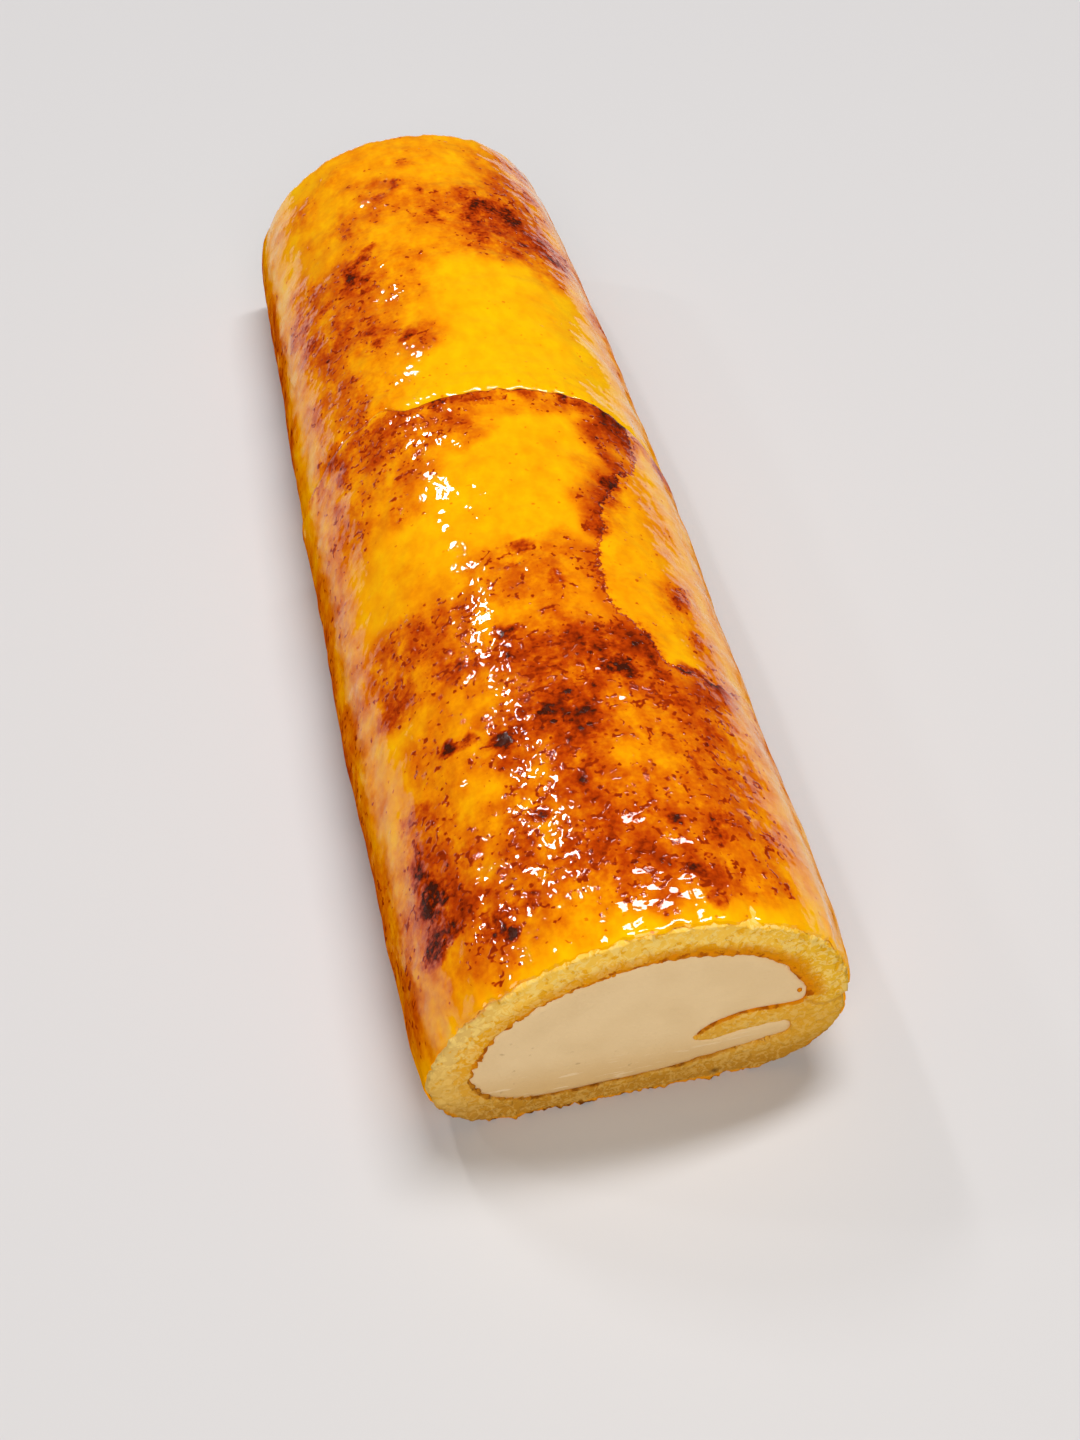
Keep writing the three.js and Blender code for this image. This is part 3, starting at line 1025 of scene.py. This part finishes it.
# %% Sponge blocks
def crumb_end(side):
    """The near or far end of the sponge, with a torn face."""
    start, end, outwards = ENDS[side]
    piece = block("sponge", side + "_crumb", start, end, voxel=0.52)
    swell(piece, 0.12)
    scallop(piece)
    lift_tongue(piece)
    points = points_of(piece) / MM
    above = np.where((points[:, 2] > 23) | (points[:, 0] < -25), 1, 0.3)
    weigh(piece, "ragged", near_cut(piece, END_DEPTH) * np.sqrt(above))
    weigh(piece, "cut", near_cut(piece, 1.2))
    weigh(piece, "torn", near_cut(piece, 3) * above)
    roughen(piece, 4.5, 0.8, "ragged")
    roughen(piece, 2.6, 1.1, "torn")
    roughen(piece, 1.7, 0.4, "ragged")
    roughen(piece, 1.0, 0.3, "cut")
    fray_base(piece, outwards)
    return piece


STRAY_CRUMBS = [  # across, up and radius, in millimetres
    (33.7, 26.3, 0.55), (11.9, 16.3, 0.6), (28.2, 10.5, 0.7), (26.7, 10.0, 0.5), (-32.6, 9.6, 0.6),
    (-34.5, 12.4, 0.5), (3.0, 45.6, 0.6), (-6.5, 43.9, 0.5),
]


def stray_crumb(x, z, radius):
    """A crumb that the knife dragged onto the near cut."""
    place = Vector((x, FACE_Y + FACE_SET_BACK + 0.3 + FACE_SKEW * x, z)) * MM
    bpy.ops.mesh.primitive_ico_sphere_add(subdivisions=2, radius=radius * MM, location=place)
    bpy.ops.object.transform_apply()
    crumb = bpy.context.object
    roughen(crumb, 0.9, radius)
    return crumb


stray_crumbs = [stray_crumb(*crumb) for crumb in STRAY_CRUMBS]
near_crumb = crumb_end("near")
far_crumb = crumb_end("far")
sponge = block("sponge", "sponge_sheet", FACE_Y + END_DEPTH, BACK_Y - END_DEPTH)
joined(sponge, near_crumb, far_crumb, *stray_crumbs)

# %% [markdown]
# The skin of the sheet is told by distance: every point keeps how far it is from the cream, how far
# from the outside, and how far from the seam where the outer end of the sheet lies on its own turn.

# %% Places in the sponge
SHADED_PIT = (16.8, 2.8, 0.9)  # painted shade of a hole in the base of the face: across, up and radius
SEAM = [(44.9, 22.4), (40.0, 17.6), (35.4, 22.6)]  # start, pull and end of its curve on the face


def seam_points(steps=24):
    """Places along the seam, as a curve with one pull."""
    start, pull, end = (np.array(place) for place in SEAM)
    shares = np.linspace(0, 1, steps)
    return [(1 - t) ** 2 * start + 2 * t * (1 - t) * pull + t * t * end for t in shares]


points = points_of(sponge)
to_glaze = distance_to(tree_of("glaze_front", "glaze_back"), points)
across = points[:, [0, 2]] / MM
from_seam = across[:, None] - np.array(seam_points())
paint(sponge, "to_cream", distance_to(tree_of("cream"), points))
paint(sponge, "to_glaze", to_glaze)
paint(sponge, "to_outside", np.clip(points[:, 2] / MM, 0, to_glaze))
paint(sponge, "to_seam", np.linalg.norm(from_seam, axis=2).min(axis=1))

# How wide the browned skin is on the cream side of the sheet, in millimetres.
x, z = across.T
places = [z < 9, (x > 11) & (z < 17), (x > 11) & (z < 24), (x > 24) & (z > 24)]
along_crown = np.interp(x, [-38, -30, -5, 10], [0.5, 1.2, 1.5, 1.8])
paint(sponge, "skin_width", np.select(places, [0.3, 0.0, 0.5, 1.5], along_crown))
paint(sponge, "pit_shade", np.exp(-((np.hypot(x - SHADED_PIT[0], z - SHADED_PIT[1]) / SHADED_PIT[2]) ** 2)))
# How deep the gold under the skin is, from 0 to 1.
along_crown = np.interp(x, [-38, -28, -5, 10], [0.15, 0.5, 0.65, 1.0])
paint(sponge, "gold", np.select(places, [0.0, 0.1, 0.15, 1.0], along_crown))

# %% Sponge material
def sponge_crumb():
    finish = Finish("sponge_crumb", Roughness=0.95, Specular_IOR_Level=0.05)
    place = finish.place()
    height = finish.axis(place, "Z")
    sideways = finish.axis(place, "X")
    clump = finish.cloud(place, 2.6, 3, 0.6)
    pore = finish.cloud(place, 0.8, 3, 0.6)
    fibre = {"Vector": place, "Scale": 1 / 1.7, "Detail": 3.0, "Roughness": 0.55, "Distortion": 1.2}
    torn = finish.node("ShaderNodeTexNoise", None, fibre)
    to_cream = finish.painted("to_cream")
    ragged = (clump - 0.5) * 2.0 + (pore - 0.5) * 1.0
    inwards = (to_cream + ragged * 1.6).ramp(6.5, 1.0)

    pale = finish.mix(sideways.ramp(-22, -38), rgb(254, 202, 80), rgb(234, 192, 106))
    pale = finish.mix(sideways.ramp(14, 38), pale, rgb(243, 187, 46))
    colour = finish.mix(inwards, pale, rgb(243, 182, 58))
    # Painted shade: hollows in the crumb are painted a darker, deeper gold.
    shaded_hollow = (finish.cloud(place, 2.3, 2, 0.6) + inwards * 0.12).ramp(0.55, 0.64)
    colour = finish.mix(shaded_hollow * 0.85, colour, rgb(238, 168, 8))
    # Painted highlights: the tops of torn fibres are painted paler.
    colour = finish.mix(torn.ramp(0.48, 0.57) * 0.7, colour, rgb(255, 220, 128))
    # Painted shade: lower down the face the crumb is painted darker.
    low_down = height.ramp(28, 14)
    colour = finish.mix(low_down * 0.65, colour, rgb(222, 170, 70))
    gold = (to_cream + ragged * 1.2).ramp(5.2, 1.8) * finish.painted("gold")
    colour = finish.mix(gold, colour, rgb(224, 142, 2))
    fold = height.ramp(25, 12) * sideways.ramp(24, 36)
    colour = finish.mix(fold * 0.6, colour, rgb(224, 160, 34))
    # More painted shade, darkest along the bottom of the face.
    colour = finish.mix(height.ramp(13, 3) * 0.85, colour, rgb(186, 126, 32))
    # Lower down, painted highlights on pale tufts.
    tuft_highlights = (torn + (pore - 0.5) * 0.5).ramp(0.47, 0.6) * low_down
    colour = finish.mix(tuft_highlights * 0.42, colour, rgb(236, 192, 104))

    width = finish.painted("skin_width")
    skin = (width + ragged * width - to_cream).ramp(-0.15, 0.2)
    crust = (finish.painted("to_outside") + ragged * 0.8).ramp(1.5, 0.7) * height.ramp(12, 6)
    seam_line = (finish.painted("to_seam") + ragged * 0.4).ramp(1.0, 0.2) * 0.45
    dark = finish.cloud(place, 2.2, 2).ramp(0.48, 0.64)
    colour = finish.mix(seam_line, colour, rgb(196, 126, 16))
    light_skin = finish.mix(height.ramp(24, 12), rgb(226, 138, 8), rgb(190, 124, 28))
    dark_skin = finish.mix(height.ramp(24, 12), rgb(180, 92, 4), rgb(146, 84, 14))
    colour = finish.mix(skin, colour, finish.mix(dark, light_skin, dark_skin))
    # The crust along the bottom is browned, and its dark patches are partly painted shade in its
    # crevices.
    colour = finish.mix(crust, colour, finish.mix(dark, rgb(236, 152, 20), rgb(118, 62, 8)))

    # Towards the glaze the torn face curves back, which catches more light.
    pit_shade = finish.painted("pit_shade")
    # Painted shade: a dark spot stands for the shade inside a hole at the base of the face.
    colour = finish.mix(pit_shade * 0.8, colour, rgb(92, 56, 22))
    curve = (1 - finish.painted("to_glaze") * (1 / 7)).most(0)
    relief = clump * 0.5 + torn * 0.45 + pore * 0.1 - shaded_hollow * 0.25 - curve * curve * 3.2
    return finish.finish(Base_Color=colour, Normal=finish.bump(relief, 0.5))


dress(sponge, sponge_crumb())

# %% [markdown]
# ## The cream
#
# Whipped cream is denser and smoother than crumb. The knife leaves it nearly flat, with faint drag
# lines and a few pin holes. It fills every hollow of the torn crumb, so its blocks swell a little into
# the sponge and are then pushed back behind the plane of the cut.

# %% Cream blocks
CREAM_SWELL = 0.9
CREAM_RECESS = 0.35


def cream_end(side):
    """The near or far end of the cream, set back a little behind the cut."""
    start, end, outwards = ENDS[side]
    piece = block("cream", side + "_cream", start, end, voxel=0.7)
    swell(piece, CREAM_SWELL)
    lift_tongue(piece)
    weigh(piece, "cut", near_cut(piece, 2.5))
    roughen(piece, 9, 0.35, "cut")
    roughen(piece, 2.2, 0.08, "cut")
    edit(piece)
    bpy.ops.transform.translate(value=(0, -outwards * (CREAM_SWELL + CREAM_RECESS) * MM, 0))
    done()
    return piece


near_cream = cream_end("near")
far_cream = cream_end("far")
cream = block("cream", "cream_filling", FACE_Y + END_DEPTH, BACK_Y - END_DEPTH)
joined(cream, near_cream, far_cream)

# %% Cream material
def whipped_cream():
    finish = Finish("whipped_cream", Roughness=0.55, Specular_IOR_Level=0.4)
    place = finish.place()
    dragged = finish.stretched(place, (0.12, 1, 1))
    drag = finish.cloud(dragged, 0.9, 3, 0.6)
    soft = finish.cloud(place, 12, 2)
    colour = finish.mix(soft.ramp(0.3, 0.7), rgb(234, 202, 150), rgb(240, 209, 158))
    height = finish.axis(place, "Z")
    # Painted shade: the cream is painted darker towards the bottom.
    colour = finish.mix(height.ramp(20, 6) * 0.75, colour, rgb(222, 180, 114))
    # Painted highlights: pale streaks along the drag lines low on the face.
    streak_highlight = (drag + soft * 0.3).ramp(0.74, 0.82) * height.ramp(18, 8)
    colour = finish.mix(streak_highlight * 0.6, colour, rgb(252, 228, 190))
    # The pin holes are dented by the bump and painted darker, which is painted shade.
    shaded_holes = blisters(finish, place, 4.0, 0.35, 0.12)
    colour = finish.mix(shaded_holes * 0.5, colour, rgb(176, 130, 80))
    grain = finish.cloud(place, 1.4, 2) * 0.3 + finish.cloud(place, 0.7, 2) * 0.6
    normal = finish.bump(drag * 0.6 + grain - shaded_holes * 0.5, 0.18)
    return finish.finish(Base_Color=colour, Normal=normal)


dress(cream, whipped_cream())

# %% [markdown]
# ## Putting it together
#
# The roughening has pushed a few points below the surface the cake lies on, and they are set back onto
# it. Each new piece then rides on the body root, and the solid it was made from is hidden.

# %% Pieces
def set_down(piece):
    """Puts what is below the floor back onto it."""
    points = points_of(piece)
    points[:, 2] = np.maximum(points[:, 2], 0)
    write(piece, points)


for piece, node, slot in (
    (sponge, "sponge", "crumb"),
    (cream, "cream", "whipped_cream"),
    (front_skin, "glaze_front", "toasted_glaze"),
    (back_skin, "glaze_back", "toasted_glaze"),
):
    set_down(piece)
    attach(piece, "root")
    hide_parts(node)
